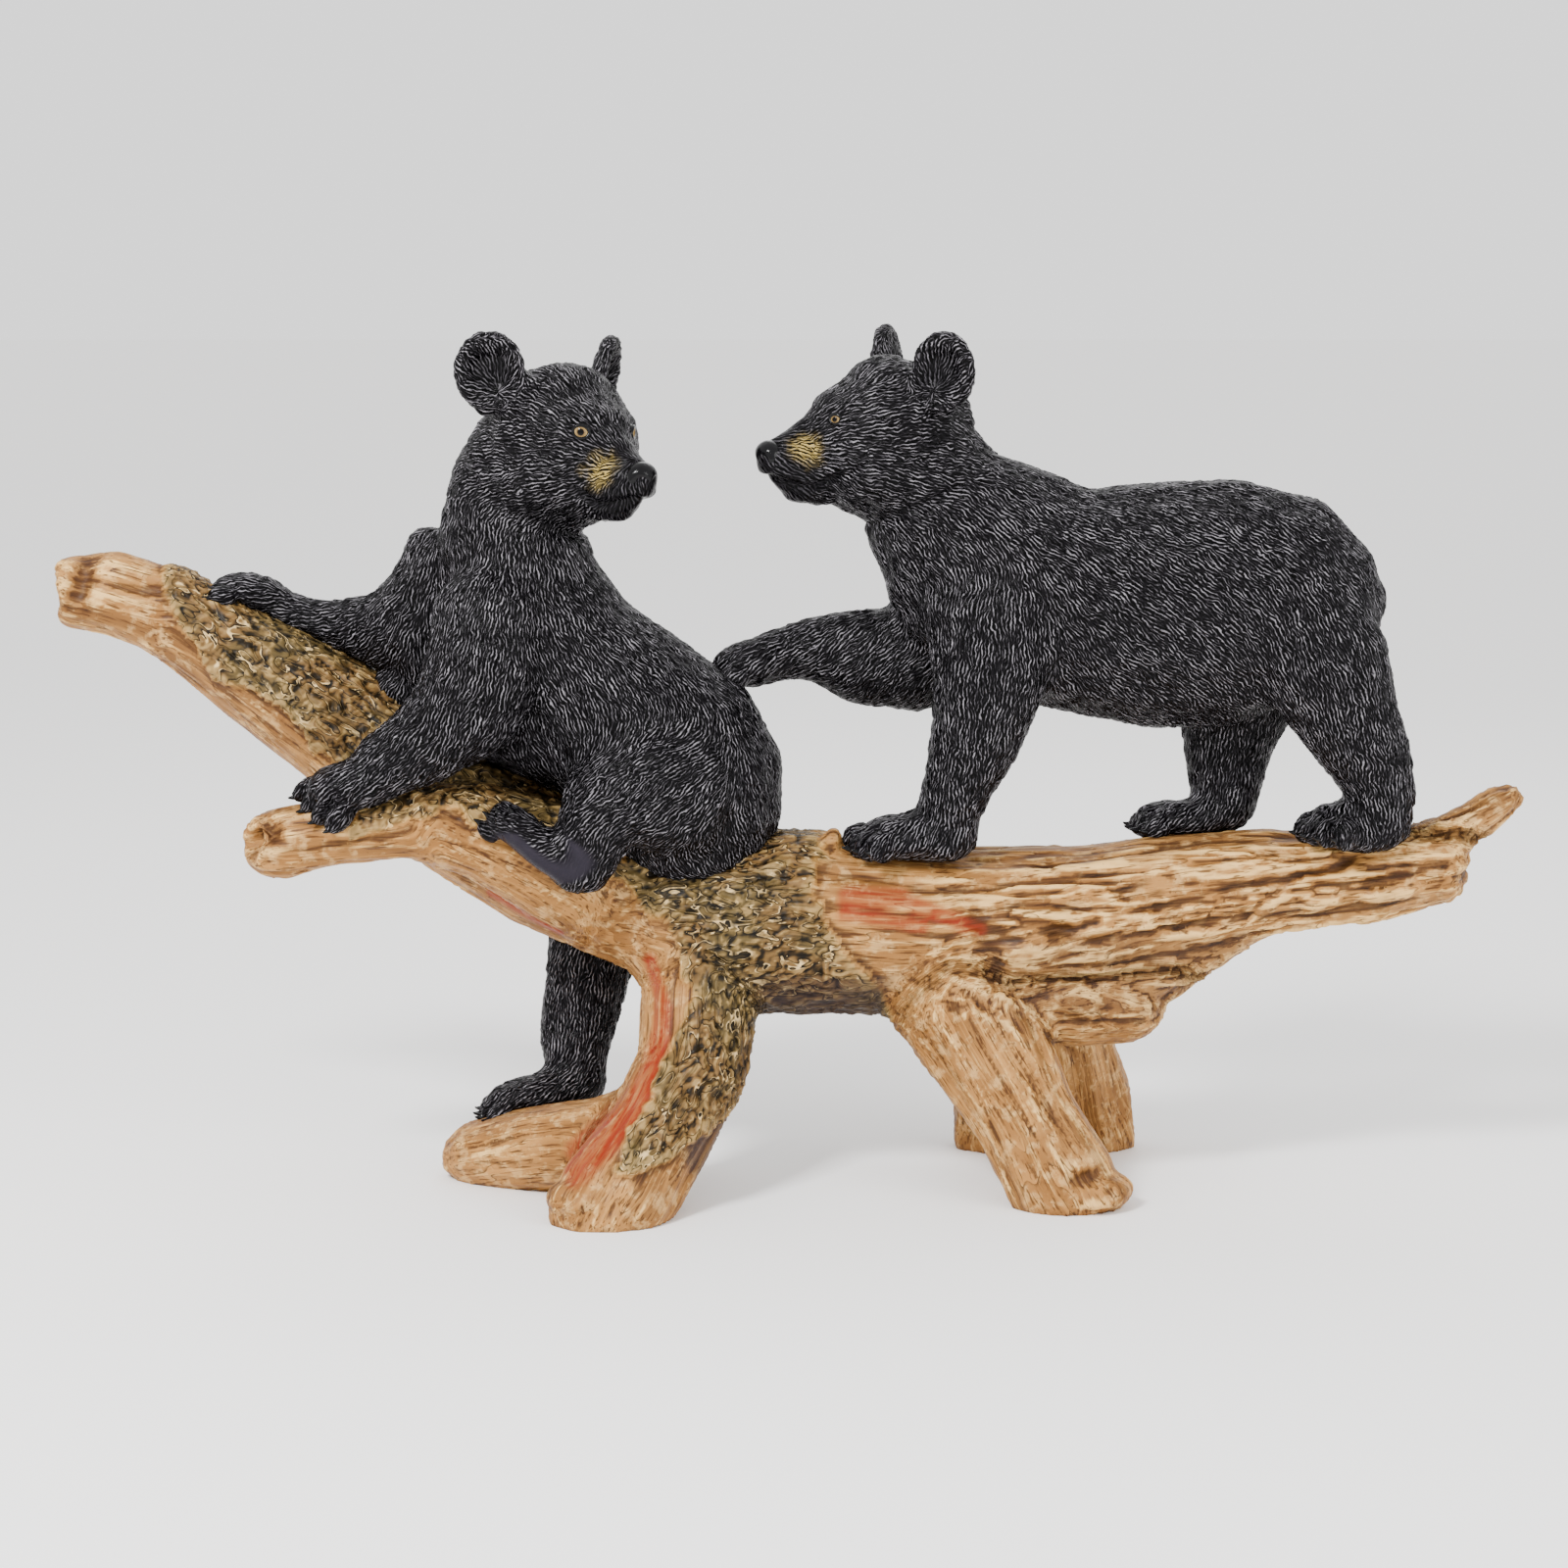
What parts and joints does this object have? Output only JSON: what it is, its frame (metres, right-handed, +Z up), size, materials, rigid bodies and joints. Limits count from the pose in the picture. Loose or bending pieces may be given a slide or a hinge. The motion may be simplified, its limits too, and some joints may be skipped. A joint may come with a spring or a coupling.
{
  "type": "bear cubs on log statue",
  "caption": "Painted garden statue of young black bears on a fallen tree trunk, one astride it looking back and one walking up behind with a raised paw.",
  "frame": {"origin": "centre of the bounding box at ground level", "axes": "+X along the trunk, from the forked branches towards the thin broken end; +Y away from the side the cubs show; +Z up"},
  "size_m": [0.7521, 0.2122, 0.4373],
  "materials": {
    "trunk": "hand-painted cast resin, matte, tan wood and olive-brown bark",
    "fur": "hand-painted cast resin, satin charcoal black with pale dry-brushed strokes"
  },
  "bodies": {
    "root": {"fallen_trunk": "trunk", "seated_cub": "fur", "walking_cub": "fur"}
  },
  "joints": []
}
